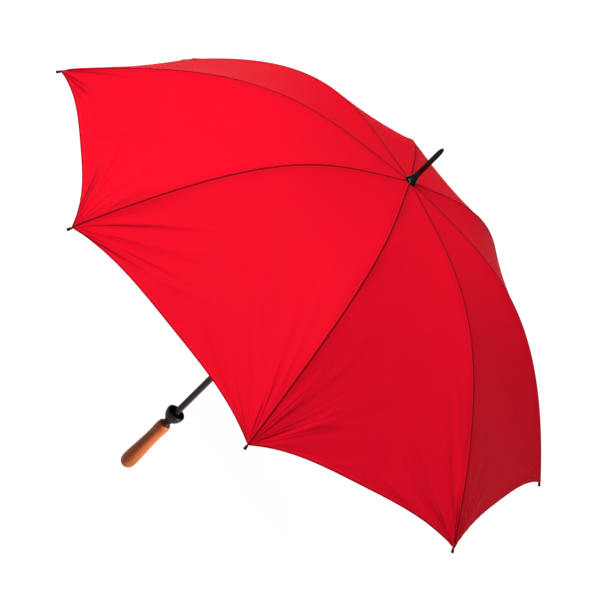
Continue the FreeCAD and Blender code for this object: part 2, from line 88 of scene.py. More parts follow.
# %% Shared sizes
RIBS = 8
HALF_SECTOR = math.pi / RIBS
MM = 0.001
PANEL_INSET = 0.14 * MM
PANEL_DROP = 0.34 * MM
CROWN_ABOVE_PIVOT = 10.0 * MM
panel_low, panel_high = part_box("canopy_panel_1")
OPEN_RADIUS = panel_high[0] + PANEL_INSET
CORNER_Z = panel_low[2] + PANEL_DROP
flex_joint = next(j for j in frame["joints"] if j["name"] == "rib_1_straighten")
fold_joint = next(j for j in frame["joints"] if j["name"] == "rib_1_fold")
CROWN_Z = fold_joint["pos_m"][2] + CROWN_ABOVE_PIVOT
CANOPY_RISE = CROWN_Z - CORNER_Z
GORE_HALF_WIDTH = OPEN_RADIUS * math.sin(HALF_SECTOR)
CLOTH = 0.4 * MM
HEM_EXTRA = 0.5 * MM
print("open radius", round(OPEN_RADIUS, 4), "rise", round(CANOPY_RISE, 4))


def rib_azimuth(number):
    """Direction of a rib, counted clockwise from +X seen from above."""
    return -2 * math.pi * (number - 1) / RIBS


def smooth(edge0, edge1, value):
    """0 below edge0, 1 above edge1, and a smooth step in between."""
    share = np.clip((value - edge0) / (edge1 - edge0), 0.0, 1.0)
    return share * share * (3 - 2 * share)


# %% [markdown]
# ## The canopy's shape
# Eight gores are sewn together along the ribs. A stretched gore follows its two ribs, runs nearly
# straight between them, and sags in a little, because cloth that bows one way must bow the other
# way across. Its free hem is cut hollow. All of that is a formula, so the cloth can be as fine as
# its creases need, and it fits the ribs exactly.

# %% The line that a seam follows over its rib
LINE_STEPS = 3000
CROWN_HOLE = 9.75 * MM
CURVE_RADII = (CROWN_HOLE, 0.3602 * OPEN_RADIUS, 0.5615 * OPEN_RADIUS, OPEN_RADIUS)
CURVE_DROPS = (0.0087, 0.0607, -0.0085, 1.0)


def seam_curve(share):
    """Bezier curve of a seam as (radius, height), from the crown to the tip."""
    share = np.asarray(share, float)
    blend = (
        (1 - share) ** 3,
        3 * share * (1 - share) ** 2,
        3 * share ** 2 * (1 - share),
        share ** 3,
    )
    radius = sum(b * r for b, r in zip(blend, CURVE_RADII))
    height = CROWN_Z - CANOPY_RISE * sum(b * d for b, d in zip(blend, CURVE_DROPS))
    return radius, height


line_shares = np.linspace(0.0, 1.0, LINE_STEPS)
line_radius, line_height = seam_curve(line_shares)
line_steps = np.hypot(np.diff(line_radius), np.diff(line_height))
line_distance = np.concatenate([[0.0], np.cumsum(line_steps)])
SEAM_LENGTH = float(line_distance[-1])
slope_radius = np.gradient(line_radius, line_distance)
slope_height = np.gradient(line_height, line_distance)
print("seam length", round(SEAM_LENGTH, 4))


def seam_at(distance):
    """Radius, height and outward normal of the seam line at distances along it."""
    radius = np.interp(distance, line_distance, line_radius)
    height = np.interp(distance, line_distance, line_height)
    normal_radius = -np.interp(distance, line_distance, slope_height)
    normal_height = np.interp(distance, line_distance, slope_radius)
    return radius, height, normal_radius, normal_height


# %% The creases that make it cloth
SCALLOP = 28.0 * MM
SCALLOP_POWER = 3.4
SAG_MIDDLE = 6.0 * MM
SAG_HEM = 3.0 * MM
CREASE_DEPTH = 3.4 * MM
CORNER_CREASES = 4
CREASE_SPACING = 0.29
WAVES = 5
CROSS_FOLDS = (0.30, 0.62, 0.80)
CROSS_FOLD_WIDTH = 5 * MM
PUCKER_PITCH = 17 * MM
PUCKER_HEIGHT = 0.30 * MM
RIPPLE_PITCH = 27 * MM
RIPPLE_HEIGHT = 0.35 * MM
SEAM_RIDGE = 0.55 * MM
SEAM_RIDGE_WIDTH = 2.1 * MM
TIP_STRENGTH = (1.5, 1.25, 0.9, 0.8, 0.8, 0.7, 0.95, 1.35)


def tip_creases(along, from_seam, corner_gap, strength, seed):
    """Creases that fan out from a corner, deepest a little way off it."""
    chance = np.random.default_rng(seed)
    reach = np.hypot(corner_gap, from_seam) + 1e-6
    angle = np.arctan2(from_seam, corner_gap + 2 * MM)
    height = np.zeros_like(reach)
    for number in range(CORNER_CREASES):
        place = (number + 0.5 + chance.uniform(-0.3, 0.3)) * CREASE_SPACING
        width = chance.uniform(0.075, 0.125)
        depth = chance.uniform(0.5, 1.0) * (1.0 if number % 2 else -0.7)
        run = chance.uniform(60, 170) * MM
        ridge = np.exp(-((angle - place) / width) ** 2)
        height += depth * ridge * np.exp(-reach / run) * smooth(0.0, 25 * MM, reach)
    return CREASE_DEPTH * strength * height


def crease_height(panel, along, across_m, from_left, from_right, to_hem):
    """How far the cloth stands off its smooth shape, from its creases and puckers."""
    chance = np.random.default_rng(100 + panel)
    left, right = TIP_STRENGTH[panel - 1], TIP_STRENGTH[panel % RIBS]
    seam_left = SEAM_LENGTH - along
    height = tip_creases(along, from_left, seam_left, left, 10 * panel + 1)
    height = height + tip_creases(along, from_right, seam_left, right, 10 * panel + 2)
    for _ in range(WAVES):
        pitch = chance.uniform(0.16, 0.34)
        lean = chance.uniform(-0.5, 0.5)
        phase = chance.uniform(0, 2 * math.pi)
        size = chance.uniform(0.25, 0.6) * MM
        height = height + size * np.sin(2 * math.pi * (along + lean * across_m) / pitch + phase)
    for fold in CROSS_FOLDS:
        place = SEAM_LENGTH * (fold + chance.uniform(-0.04, 0.04))
        lean = chance.uniform(-0.16, 0.16)
        off = (along - place + lean * across_m) / CROSS_FOLD_WIDTH
        height = height + chance.uniform(0.25, 0.55) * MM * np.exp(-off ** 2)
    near_seam = np.minimum(from_left, from_right)
    height = height * smooth(1 * MM, 22 * MM, near_seam) * smooth(0.0, 0.10, along)
    pucker = np.sin(2 * math.pi * along / PUCKER_PITCH + 3 * np.sin(along / (40 * MM)))
    beside_seam = np.exp(-near_seam / (9 * MM)) * smooth(0.5 * MM, 4 * MM, near_seam)
    height = height + PUCKER_HEIGHT * pucker * beside_seam
    ripple = np.sin(2 * math.pi * across_m / RIPPLE_PITCH + 2 * np.sin(across_m / (61 * MM)))
    beside_hem = np.exp(-to_hem / (13 * MM)) * smooth(0.0, 10 * MM, near_seam)
    height = height + RIPPLE_HEIGHT * ripple * beside_hem
    return height + SEAM_RIDGE * np.exp(-(near_seam / SEAM_RIDGE_WIDTH) ** 2)


# %% One gore as a grid of points
NEAR_SEAM = (0.0, 0.9, 2.0, 3.4, 5.5, 9.0)
ACROSS = 26
INNER_ROWS = 54
OUTER_ROWS = 74
HEM_ROWS = (9.5, 8.0, 6.5, 3.2, 0.0)
flex_radius, flex_height = flex_joint["pos_m"][0], flex_joint["pos_m"][2]
flex_gaps = (line_radius - flex_radius) ** 2 + (line_height - flex_height) ** 2
FLEX_DISTANCE = float(line_distance[np.argmin(flex_gaps)])
FLEX_SHARE = FLEX_DISTANCE / SEAM_LENGTH
hem_share = 1.0 - HEM_ROWS[0] * MM / SEAM_LENGTH
row_shares = np.concatenate([
    np.linspace(0.0, FLEX_SHARE, INNER_ROWS)[:-1],
    np.linspace(FLEX_SHARE, hem_share, OUTER_ROWS)[:-1],
    1.0 - np.array(HEM_ROWS) * MM / SEAM_LENGTH,
])
print("rows", len(row_shares), "bend at", round(FLEX_DISTANCE, 4))


def row_places(half_width):
    """Distances from the seam of a row's points, finer beside the seam, to the gore's middle."""
    near = np.array(NEAR_SEAM) * MM
    near = near * min(1.0, half_width / (45 * MM))
    rest = np.linspace(near[-1], half_width, ACROSS - len(near) + 1)[1:]
    return np.concatenate([near, rest])


def gore_grid(panel):
    """Outer points, normals and cloth measures of one gore, row by row from the crown."""
    rows = []
    measures = []
    for share in row_shares:
        width = np.interp(share * SEAM_LENGTH, line_distance, line_radius) * math.sin(HALF_SECTOR)
        half = row_places(width) / width
        across = np.concatenate([half - 1, (1 - half)[::-1][1:]])
        scallop = SCALLOP * (1 - np.abs(across) ** SCALLOP_POWER)
        along = share * (SEAM_LENGTH - scallop)
        radius, height, normal_r, normal_z = seam_at(along)
        out = along / SEAM_LENGTH
        sag = (4 * SAG_MIDDLE * out * (1 - out) + SAG_HEM * out ** 2) * (1 - across ** 2)
        span = radius * math.sin(HALF_SECTOR)
        across_m = across * span
        to_hem = (1 - share) * (SEAM_LENGTH - scallop)
        lift = crease_height(panel, along, across_m, span - across_m, span + across_m, to_hem)
        x = radius * math.cos(HALF_SECTOR) + (lift - sag) * normal_r
        z = height + (lift - sag) * normal_z
        rows.append(np.stack([x, across_m, z], axis=1))
        seam_distance = span - np.abs(across_m)
        measures.append(np.stack([across_m, along, seam_distance, to_hem], axis=1))
    points = np.array(rows)
    middle = rib_azimuth(panel) - HALF_SECTOR
    c, s = math.cos(middle), math.sin(middle)
    x, y = points[..., 0].copy(), points[..., 1].copy()
    points[..., 0] = x * c - y * s
    points[..., 1] = x * s + y * c
    down = np.gradient(points, axis=0)
    sideways = np.gradient(points, axis=1)
    normals = np.cross(down, sideways)
    normals /= np.linalg.norm(normals, axis=2, keepdims=True)
    return points, normals, np.array(measures)


# %% [markdown]
# The canopy is cut where the frame needs it: along the middle of each gore, because each half
# folds with its own rib, and where the rib bends. A cut doesn't show: both sides share the same
# points, and the same normals, worked out on the whole gore. Each cut piece gets a second layer
# under it and a rim, so that it is a thin closed sheet, thicker at the turned hem.

# %% Cloth pieces
def cloth_piece(name, points, normals, measures):
    """A thin closed sheet from a grid of points, with its cloth measures as two UV maps."""
    rows, columns = points.shape[:2]
    to_hem = measures[..., 3:4]
    depth = CLOTH + HEM_EXTRA * (1 - smooth(7 * MM, 9 * MM, to_hem))
    under = points - normals * depth
    vertices = np.concatenate([points.reshape(-1, 3), under.reshape(-1, 3)])
    index = np.arange(rows * columns).reshape(rows, columns)
    a, b = index[:-1, :-1].ravel(), index[1:, :-1].ravel()
    c, d = index[1:, 1:].ravel(), index[:-1, 1:].ravel()
    top = np.stack([a, b, c, d], axis=1)
    count = rows * columns
    bottom = top[:, ::-1] + count
    border = np.concatenate([index[0, :], index[1:, -1], index[-1, -2::-1], index[-2:0:-1, 0]])
    after = np.roll(border, -1)
    rim = np.stack([border, after, after + count, border + count], axis=1)
    faces = np.concatenate([top, bottom, rim])
    mesh = bpy.data.meshes.new(name)
    mesh.from_pydata(vertices.tolist(), [], faces.tolist())
    flat = measures.reshape(-1, 4)
    flat = np.concatenate([flat, flat])
    loops = np.zeros(len(mesh.loops), dtype=np.int32)
    mesh.loops.foreach_get("vertex_index", loops)
    for title, pair in (("cloth", flat[:, 0:2]), ("edges", flat[:, 2:4])):
        layer = mesh.uv_layers.new(name=title)
        layer.data.foreach_set("uv", pair[loops].ravel())
    mesh.polygons.foreach_set("use_smooth", np.ones(len(mesh.polygons), dtype=bool))
    both = np.concatenate([normals.reshape(-1, 3), -normals.reshape(-1, 3)])
    mesh.normals_split_custom_set_from_vertices(both.tolist())
    piece = bpy.data.objects.new(name, mesh)
    bpy.context.collection.objects.link(piece)
    return piece


def cloth_area(points):
    """Area of a grid of points."""
    down = np.diff(points, axis=0)[:, :-1]
    sideways = np.diff(points, axis=1)[:-1]
    return float(np.linalg.norm(np.cross(down, sideways), axis=2).sum())


ring_row = INNER_ROWS - 1
middle_column = ACROSS - 1
canopy = []
for panel in range(1, RIBS + 1):
    points, normals, measures = gore_grid(panel)
    halves = ((panel % RIBS + 1, slice(0, middle_column + 1)), (panel, slice(middle_column, None)))
    zones = (("inner", slice(0, ring_row + 1)), ("outer", slice(ring_row, None)))
    for rib, columns in halves:
        for zone, rows in zones:
            part = (rows, columns)
            name = f"gore_{panel}_{zone}_at_rib_{rib}"
            canopy.append({
                "piece": cloth_piece(name, points[part], normals[part], measures[part]),
                "panel": panel,
                "rib": rib,
                "inner": zone == "inner",
                "area": cloth_area(points[part]),
                "side": 1 if rib == panel else -1,
            })
print("cloth pieces", len(canopy), "area", round(sum(c["area"] for c in canopy), 3))

# %% Each cloth piece hangs on its rib or rib tip
WING = math.radians(27.5)
INNER_WIDTH_SHARE = 0.55
for entry in canopy:
    piece, rib = entry["piece"], entry["rib"]
    azimuth = rib_azimuth(rib)
    outwards = Vector((math.cos(azimuth), math.sin(azimuth), 0))
    sideways = Vector((-math.sin(azimuth), math.cos(azimuth), 0)) * -entry["side"]
    start, end = (0.0, FLEX_DISTANCE) if entry["inner"] else (FLEX_DISTANCE, SEAM_LENGTH)
    radius, height, normal_r, normal_z = (float(v) for v in seam_at(0.5 * (start + end)))
    normal = outwards * normal_r + Vector((0, 0, normal_z))
    axis = sideways * math.cos(WING) - normal * math.sin(WING)
    width = GORE_HALF_WIDTH * (INNER_WIDTH_SHARE if entry["inner"] else 1.0)
    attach(piece, f"rib_{rib}" if entry["inner"] else f"rib_tip_{rib}")
    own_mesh(piece)
    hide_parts(f"canopy_panel_{entry['panel']}")
    end - start
cloth_pieces = [entry["piece"] for entry in canopy]
print("folding pieces", len(cloth_pieces))

# %% [markdown]
# ## Turned pieces
# Handle, cup, spike and caps were all made round an axis, on a lathe or in a round mould. Each
# starts as a circle of points at its foot, which is extruded upwards and scaled, ring by ring,
# as a turner follows an outline. The outline has only the sizes that its shape needs, and a
# subdivision surface rounds what lies between them.

# %% Helpers for modelling by hand
ROUNDING_LEVELS = 2
PINHOLE = 0.05 * MM


def start_fresh():
    """Leave edit mode and let go of everything that is selected."""
    if bpy.context.object and bpy.context.object.mode == "EDIT":
        bpy.ops.object.mode_set(mode="OBJECT")
    bpy.ops.object.select_all(action="DESELECT")


def settle(piece):
    """Put a finished piece's place into its mesh and smooth its shading."""
    start_fresh()
    bpy.context.view_layer.objects.active = piece
    piece.select_set(True)
    bpy.ops.object.transform_apply(location=True, rotation=True, scale=True)
    bpy.ops.object.shade_smooth()
    return piece


def lathe(name, outline, sides):
    """Turn a piece on the shaft's axis from its outline of (radius, height), foot first."""
    start_fresh()
    radius, height = outline[0]
    bpy.ops.mesh.primitive_circle_add(vertices=sides, radius=radius, fill_type="NOTHING",
                                      location=(0, 0, height))
    piece = bpy.context.object
    piece.name = name
    piece.data.name = name
    bpy.ops.object.mode_set(mode="EDIT")
    bpy.ops.mesh.select_all(action="SELECT")
    for next_radius, next_height in outline[1:]:
        bpy.ops.mesh.extrude_region_move(
            TRANSFORM_OT_translate={"value": (0, 0, next_height - height)})
        ratio = next_radius / radius
        bpy.ops.transform.resize(value=(ratio, ratio, 1), center_override=(0, 0, next_height))
        radius, height = next_radius, next_height
    bpy.ops.mesh.select_all(action="SELECT")
    bpy.ops.mesh.remove_doubles(threshold=1e-6)
    bpy.ops.mesh.normals_make_consistent(inside=False)
    bpy.ops.object.mode_set(mode="OBJECT")
    rounding = piece.modifiers.new("rounding", "SUBSURF")
    rounding.levels = ROUNDING_LEVELS
    rounding.render_levels = ROUNDING_LEVELS
    bpy.ops.object.modifier_apply(modifier=rounding.name)
    return settle(piece)


def close_ends(outline):
    """An outline that starts and ends at a pinhole on the axis, so that the piece is closed."""
    return [(PINHOLE, outline[0][1])] + outline + [(PINHOLE, outline[-1][1])]


# %% [markdown]
# The handle is turned hardwood: a ball end for the palm, a long belly, a waist for the fingers,
# and a shoulder under a flat top. Two rings close together hold an edge crisp.

# %% Handle
HANDLE_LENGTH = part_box("handle")[1][2]
handle_outline = [
    (4.5 * MM, 0.35 * MM),
    (9.6 * MM, 2.7 * MM),
    (13.9 * MM, 7.0 * MM),
    (16.7 * MM, 13.8 * MM),
    (17.4 * MM, 21.0 * MM),
    (17.3 * MM, 31.0 * MM),
    (16.7 * MM, 46.0 * MM),
    (15.8 * MM, 62.0 * MM),
    (14.8 * MM, 82.0 * MM),
    (14.25 * MM, 102.0 * MM),
    (14.2 * MM, 112.0 * MM),
    (14.7 * MM, 121.0 * MM),
    (15.3 * MM, 130.0 * MM),
    (15.4 * MM, 136.0 * MM),
    (15.0 * MM, HANDLE_LENGTH - 6.5 * MM),
    (14.2 * MM, HANDLE_LENGTH - 2.6 * MM),
    (13.3 * MM, HANDLE_LENGTH - 0.4 * MM),
    (12.2 * MM, HANDLE_LENGTH),
    (7.4 * MM, HANDLE_LENGTH),
]
handle = lathe("turned_handle", close_ends(handle_outline), sides=48)
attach(handle, "shaft")
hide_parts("handle")
print("handle", len(handle.data.polygons), "faces")

# %% [markdown]
# The cup above the handle catches the rib tips when the umbrella is closed. It is a moulded
# goblet with a thin neck, a bell and a thick rolled rim, open towards the canopy.

# %% Tip cup
cup_low, cup_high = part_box("tip_cup")
NECK = cup_low[2]
RIM = cup_high[2]
cup_outline = [
    (7.3 * MM, NECK + 0.05 * MM),
    (9.6 * MM, NECK + 0.05 * MM),
    (10.0 * MM, NECK + 0.8 * MM),
    (9.3 * MM, NECK + 2.6 * MM),
    (8.7 * MM, NECK + 6.5 * MM),
    (9.0 * MM, NECK + 10.0 * MM),
    (10.4 * MM, NECK + 12.6 * MM),
    (13.4 * MM, NECK + 16.0 * MM),
    (17.0 * MM, NECK + 20.4 * MM),
    (19.6 * MM, NECK + 26.0 * MM),
    (21.0 * MM, RIM - 8.5 * MM),
    (21.4 * MM, RIM - 5.6 * MM),
    (21.2 * MM, RIM - 2.8 * MM),
    (20.4 * MM, RIM - 0.8 * MM),
    (19.4 * MM, RIM),
    (18.6 * MM, RIM - 0.9 * MM),
    (18.4 * MM, RIM - 3.4 * MM),
    (18.0 * MM, RIM - 8.4 * MM),
    (15.2 * MM, RIM - 16.2 * MM),
    (12.0 * MM, RIM - 21.0 * MM),
    (7.3 * MM, RIM - 22.0 * MM),
]
cup = lathe("tip_cup_bell", cup_outline + [cup_outline[0]], sides=48)
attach(cup, "shaft")
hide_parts("tip_cup")

# %% [markdown]
# The spike over the crown is black plastic, polished by its mould. Its foot flares out over the
# middle of the canopy like a little bell, and a pin through the foot holds it on the shaft.

# %% Spike
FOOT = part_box("cover_washer")[1][2]
SPIKE_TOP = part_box("ferrule")[1][2]
spike_outline = [
    (7.2 * MM, FOOT + 0.1 * MM),
    (12.4 * MM, FOOT + 0.1 * MM),
    (12.95 * MM, FOOT + 0.5 * MM),
    (13.0 * MM, FOOT + 1.4 * MM),
    (12.5 * MM, FOOT + 2.8 * MM),
    (11.0 * MM, FOOT + 4.8 * MM),
    (9.3 * MM, FOOT + 7.6 * MM),
    (8.0 * MM, FOOT + 11.0 * MM),
    (6.9 * MM, FOOT + 14.6 * MM),
    (6.1 * MM, FOOT + 18.8 * MM),
    (5.45 * MM, FOOT + 24.0 * MM),
    (5.2 * MM, FOOT + 30.0 * MM),
    (5.35 * MM, FOOT + 42.0 * MM),
    (5.5 * MM, FOOT + 56.0 * MM),
    (5.5 * MM, SPIKE_TOP - 22.0 * MM),
    (5.35 * MM, SPIKE_TOP - 14.0 * MM),
    (4.9 * MM, SPIKE_TOP - 8.6 * MM),
    (4.0 * MM, SPIKE_TOP - 4.4 * MM),
    (2.8 * MM, SPIKE_TOP - 1.7 * MM),
    (1.4 * MM, SPIKE_TOP - 0.25 * MM),
]
spike = lathe("spike", close_ends(spike_outline), sides=32)
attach(spike, "shaft")
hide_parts("ferrule")

# %% [markdown]
# Each rib ends in a blunt black cap. The gore's corner is sewn to its neck, so the cap has a
# collar, a groove for the thread, and a rounded nose. It is turned once, stood on the first
# rib's tip, and then copied round the canopy, each copy with its own mesh.

# %% Tip caps and their thread
THREAD_LOOP = 2.35 * MM
THREAD_RADIUS = 0.30 * MM
THREAD_HEIGHTS = (2.65 * MM, 3.2 * MM)
corner_radius, corner_height, corner_nr, corner_nz = (float(v) for v in seam_at(SEAM_LENGTH))
RIB_DEPTH = 2.5 * MM
cap_start = Vector((
    corner_radius - RIB_DEPTH * corner_nr, 0, corner_height - RIB_DEPTH * corner_nz,
))
cap_way = Vector((corner_nz, 0, -corner_nr))
cap_outline = [
    (1.75 * MM, 0.4 * MM),
    (2.6 * MM, 0.4 * MM),
    (2.8 * MM, 0.7 * MM),
    (2.8 * MM, 1.5 * MM),
    (2.5 * MM, 2.0 * MM),
    (2.25 * MM, 2.4 * MM),
    (2.25 * MM, 3.5 * MM),
    (2.6 * MM, 4.2 * MM),
    (3.05 * MM, 5.0 * MM),
    (3.2 * MM, 6.2 * MM),
    (3.15 * MM, 7.6 * MM),
    (2.5 * MM, 8.6 * MM),
    (1.4 * MM, 8.95 * MM),
    (0.5 * MM, 9.0 * MM),
]
cap_model = lathe("cap_model", close_ends(cap_outline), sides=16)
thread_turns = []
for turn_height in THREAD_HEIGHTS:
    start_fresh()
    bpy.ops.mesh.primitive_torus_add(
        major_radius=THREAD_LOOP, minor_radius=THREAD_RADIUS, major_segments=24,
        minor_segments=8, location=(0, 0, turn_height))
    thread_turns.append(settle(bpy.context.object))
thread_model = thread_turns[0]
thread_model.name = "thread_model"
start_fresh()
for thread_turn in thread_turns:
    thread_turn.select_set(True)
bpy.context.view_layer.objects.active = thread_model
bpy.ops.object.join()
lean = cap_way.to_track_quat("Z", "Y").to_matrix().to_4x4()


def copy_round(model, name, number):
    """Copy of a model made on the Z axis, stood on a rib's tip, with its own mesh."""
    copy = model.copy()
    copy.data = model.data.copy()
    copy.name = name
    copy.data.name = name
    bpy.context.collection.objects.link(copy)
    round_shaft = Matrix.Rotation(rib_azimuth(number), 4, "Z")
    copy.data.transform(round_shaft @ Matrix.Translation(cap_start) @ lean)
    return copy


caps = []
threads = []
for number in range(1, RIBS + 1):
    cap = copy_round(cap_model, f"sewn_cap_{number}", number)
    thread = copy_round(thread_model, f"cap_thread_{number}", number)
    for piece in (cap, thread):
        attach(piece, f"rib_tip_{number}")
    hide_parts(f"tip_cap_{number}")
    caps.append(cap)
    threads.append(thread)
for model in (cap_model, thread_model):
    bpy.data.objects.remove(model, do_unlink=True)
print("caps", len(caps), "threads", len(threads))

# %% [markdown]
# ## Finishes
# Shader maths reads better as expressions than as boxes, so a small class stands for a socket
# and lets Python's own signs add the Math nodes.

# %% Shader maths as expressions
class Flow:
    """A shader value that can be added, multiplied and so on, each sign adding a Math node."""

    def __init__(self, net, socket):
        self.net = net
        self.socket = socket

    def _math(self, operation, first, second=None):
        values = [first] if second is None else [first, second]
        return self.net.add("ShaderNodeMath", dict(operation=operation), *values)

    def __add__(self, other):
        return self._math("ADD", self, other)

    def __sub__(self, other):
        return self._math("SUBTRACT", self, other)

    def __rsub__(self, other):
        return self._math("SUBTRACT", other, self)

    def __mul__(self, other):
        return self._math("MULTIPLY", self, other)

    def __lt__(self, other):
        return self._math("LESS_THAN", self, other)

    def __gt__(self, other):
        return self._math("GREATER_THAN", self, other)

    __radd__ = __add__
    __rmul__ = __mul__

    def sine(self):
        return self._math("SINE", self)

    def size(self):
        return self._math("ABSOLUTE", self)

    def root(self):
        return self._math("SQRT", self)

    def fall(self, run):
        """1 at nothing, fading away over a run."""
        return self._math("EXPONENT", self * (-1.0 / run))

    def angle_from(self, other):
        """Angle whose tangent is this over the other."""
        return self._math("ARCTAN2", self, other)

    def whole(self):
        return self._math("ROUND", self)

    def above(self, floor):
        """How far it stands over a floor, and nothing below."""
        return self._math("MAXIMUM", self - floor, 0.0)

    def part(self, name):
        """Another output of the node that this value comes from."""
        return Flow(self.net, self.socket.node.outputs[name])


class Finish:
    """A material under construction, with one method that adds any node."""

    def __init__(self, name):
        self.material = bpy.data.materials.new(name)
        self.material.use_nodes = True
        self.tree = self.material.node_tree
        self.tree.nodes.clear()
        self.surface = self.tree.nodes.new("ShaderNodeBsdfPrincipled")
        output = self.tree.nodes.new("ShaderNodeOutputMaterial")
        self.tree.links.new(self.surface.outputs[0], output.inputs["Surface"])

    def put(self, socket, value):
        """A value or another node's output into a socket."""
        if isinstance(value, Flow):
            self.tree.links.new(value.socket, socket)
        else:
            socket.default_value = value

    def add(self, kind, settings, *values, **named):
        """Add a node: its settings first, then its sockets in order, or by name."""
        node = self.tree.nodes.new(kind)
        stops = settings.pop("stops", None)
        for key, value in settings.items():
            setattr(node, key, value)
        if stops:
            ramp = node.color_ramp.elements
            while len(ramp) < len(stops):
                ramp.new(0.5)
            for element, (place, colour) in zip(ramp, stops):
                element.position = place
                element.color = (*colour, 1.0)
        for socket, value in zip(node.inputs, values):
            self.put(socket, value)
        for key, value in named.items():
            self.put(node.inputs[key.replace("_", " ")], value)
        shown = [output for output in node.outputs if output.enabled]
        return Flow(self, shown[0])

    def object_place(self, scale=(1, 1, 1)):
        """Object coordinates, stretched."""
        place = self.add("ShaderNodeTexCoord", {}).part("Object")
        return self.add("ShaderNodeMapping", {}, Vector=place, Scale=scale)

    def noise(self, place, scale, detail=3.0, roughness=0.5):
        """Fine-grained noise from 0 to 1."""
        return self.add("ShaderNodeTexNoise", {}, Vector=place, Scale=scale, Detail=detail,
                        Roughness=roughness)

    def between(self, share, low, high):
        """Blend of two colours or numbers by a share from 0 to 1."""
        mix = self.add("ShaderNodeMix", dict(data_type="RGBA"))
        node = mix.socket.node
        self.put(node.inputs["Factor"], share)
        for socket, colour in ((node.inputs[6], low), (node.inputs[7], high)):
            self.put(socket, colour if isinstance(colour, Flow) else (*colour, 1.0))
        return Flow(self, node.outputs[2])

    def bump(self, height, distance, strength=1.0):
        """Bump into the surface's normal."""
        node = self.add("ShaderNodeBump", {}, Height=height, Distance=distance, Strength=strength)
        self.put(self.surface.inputs["Normal"], node)

    def set(self, **named):
        """Sockets of the surface, by name."""
        for key, value in named.items():
            self.put(self.surface.inputs[key.replace("_", " ")], value)
        return self.material


def dress(piece, material):
    """Give a piece one material in place of what it had."""
    piece.data.materials.clear()
    piece.data.materials.append(material)


# %% [markdown]
# The canopy is woven nylon, dyed red and nearly matt. Two UV maps hold its cloth measures in
# metres: one runs across and along the gore and carries the weave, and the other holds the
# distance from the seam and from the hem, which place the stitches and the creases.

# %% Canopy cloth
RED = (0.740, 0.0050, 0.0200)
DEEP_RED = (0.46, 0.0008, 0.0080)
WARM_RED = (0.82, 0.0042, 0.0210)
SEAM_AND_SHADE_RED = (0.30, 0.0008, 0.0075)
STITCH_RED = (0.93, 0.05, 0.07)
WEAVE_PITCH = 0.7 * MM
WEAVE_RELIEF = 0.033 * MM
SEAM_WIDTH = 2.6 * MM
SEAM_STITCHES = 3.2 * MM
HEM_SHADE_WIDTH = 2.4 * MM
HEM_FOLD = 8.2 * MM
HEM_FOLD_WIDTH = 0.7 * MM
HEM_STITCHES = 6.6 * MM
STITCH_PITCH = 2.6 * MM
STITCH_WIDTH = 0.28 * MM
STITCH_GAP = -0.35
CRISP_PITCH = 7.0
CRISP_RUN = 45 * MM
BROAD_PITCH = 3.6
BROAD_RUN = 80 * MM
PAINTED_CREASE_SHADE = -0.34


def stitch_row(run, off, place):
    """Stitches in a line: 1 on a stitch, at a distance off from the edge."""
    on_line = (off - place).size() < STITCH_WIDTH
    wave = (run * (2 * math.pi / STITCH_PITCH)).sine()
    return on_line * (wave > STITCH_GAP)


def fan_creases(net, across, along, from_seam, pitch, run):
    """Creases that fan out from each corner of a gore, and the distance to that corner."""
    corner_gap = SEAM_LENGTH - along
    reach = (corner_gap * corner_gap + from_seam * from_seam).root()
    angle = from_seam.angle_from(corner_gap)
    place = net.add("ShaderNodeSeparateXYZ", {}, net.add("ShaderNodeTexCoord", {}).part("Object"))
    nearest_rib = (place.part("Y").angle_from(place) * (1.0 / (2 * HALF_SECTOR))).whole()
    own = nearest_rib * 3.7 + (across > 0.0) * 1.9
    spot = net.add("ShaderNodeCombineXYZ", {}, angle * pitch, own, reach * 4.0)
    ridge = (net.noise(spot, 1.0, detail=1.0, roughness=0.4) * 2.0 - 1.0).size()
    patch = net.add("ShaderNodeCombineXYZ", {}, angle * 3.1, own + 11.0, 0.0)
    present = net.noise(patch, 1.0, detail=0.0).above(0.36) * 5.5
    facing = place * (1.0 / OPEN_RADIUS)
    strength = reach.fall(run) * (facing * 0.35 + 0.75) * present
    return (ridge * -4.0 + 1.0) * strength, reach


